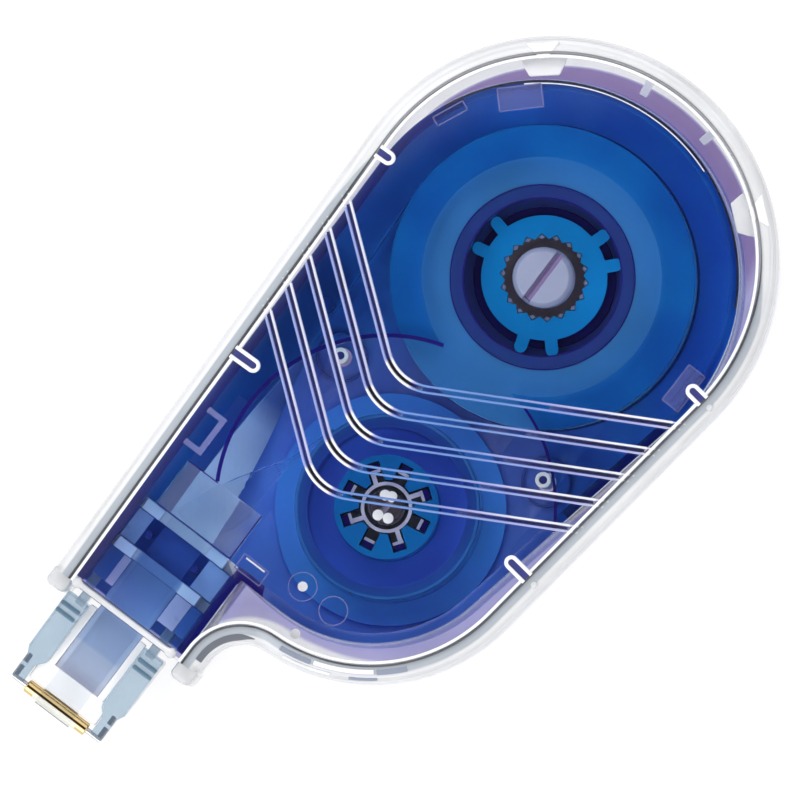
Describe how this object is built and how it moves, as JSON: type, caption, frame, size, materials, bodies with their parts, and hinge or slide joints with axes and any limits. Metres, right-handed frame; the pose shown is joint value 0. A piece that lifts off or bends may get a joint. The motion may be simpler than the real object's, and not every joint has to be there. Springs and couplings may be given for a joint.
{
  "type": "correction tape roller",
  "caption": "Flat clear-cased correction tape dispenser with a blue drop-in refill, geared supply and take-up reels, a slip clutch and a roller tip.",
  "frame": {"origin": "on the flat back face, on the supply reel's axis", "axes": "+X along the length towards the round end (the tip points to -X), +Z out of the front face, +Y to the straight long edge"},
  "size_m": [0.0893, 0.045, 0.0146],
  "materials": {
    "clear_case": "clear, polished",
    "gear_plastic": "satin",
    "dark_plastic": "satin",
    "blue_refill": "translucent, polished",
    "blue_reel": "translucent, satin",
    "cyan_reel": "translucent, satin",
    "tape": "matt",
    "film": "clear film",
    "clear_head": "clear, tinted",
    "gold": "polished",
    "steel": "turned"
  },
  "bodies": {
    "case": {"rear_case": "clear_case"},
    "cover": {"front_cover": "clear_case"},
    "refill": {"refill_base": "blue_refill", "refill_front_plate": "blue_refill", "head_frame": "clear_head", "tip_axle": "steel", "tape_run": "tape", "film_run": "film", "guide_peg": "blue_refill", "tape_guides": "dark_plastic"},
    "supply_reel": {"supply_core": "blue_reel", "supply_flange": "blue_reel", "tape_roll": "tape"},
    "clutch": {"clutch_disc": "blue_reel"},
    "take_up_reel": {"take_up_core": "cyan_reel", "take_up_flange": "cyan_reel", "film_winding": "film"},
    "supply_drive": {"supply_gear": "gear_plastic"},
    "take_up_drive": {"take_up_gear": "dark_plastic"},
    "tip": {"tip_roller": "gold"}
  },
  "joints": [
    {"name": "cover_lift", "type": "slide", "parent": "case", "child": "cover", "axis": [0, 0, 1], "range_m": [0, 0.03]},
    {"name": "refill_lift", "type": "slide", "parent": "case", "child": "refill", "axis": [0, 0, 1], "range_m": [0, 0.015]},
    {"name": "supply_spin", "type": "hinge", "parent": "refill", "child": "supply_reel", "pos_m": [0, 0, 0.0075], "axis": [0, 0, 1], "continuous": true},
    {"name": "clutch_spin", "type": "hinge", "parent": "refill", "child": "clutch", "pos_m": [0, 0, 0.0065], "axis": [0, 0, 1], "continuous": true},
    {"name": "take_up_spin", "type": "hinge", "parent": "refill", "child": "take_up_reel", "pos_m": [-0.02757, -0.0013, 0.0075], "axis": [0, 0, 1], "continuous": true},
    {"name": "supply_gear_spin", "type": "hinge", "parent": "case", "child": "supply_drive", "pos_m": [0, 0, 0.0025], "axis": [0, 0, 1], "continuous": true},
    {"name": "take_up_gear_spin", "type": "hinge", "parent": "case", "child": "take_up_drive", "pos_m": [-0.02757, -0.0013, 0.0025], "axis": [0, 0, 1], "continuous": true},
    {"name": "tip_spin", "type": "hinge", "parent": "refill", "child": "tip", "pos_m": [-0.0637, 0.01305, 0.00775], "axis": [0, 1, 0], "continuous": true}
  ],
  "couplings": [
    {"joint": "refill_lift", "follows": "cover_lift", "ratio": 0.5},
    {"joint": "clutch_spin", "follows": "supply_spin", "ratio": 0.88889},
    {"joint": "take_up_spin", "follows": "supply_spin", "ratio": -1.6667},
    {"joint": "supply_gear_spin", "follows": "supply_spin", "ratio": 0.88889},
    {"joint": "take_up_gear_spin", "follows": "supply_spin", "ratio": -1.6667},
    {"joint": "tip_spin", "follows": "supply_spin", "ratio": 18.75}
  ]
}
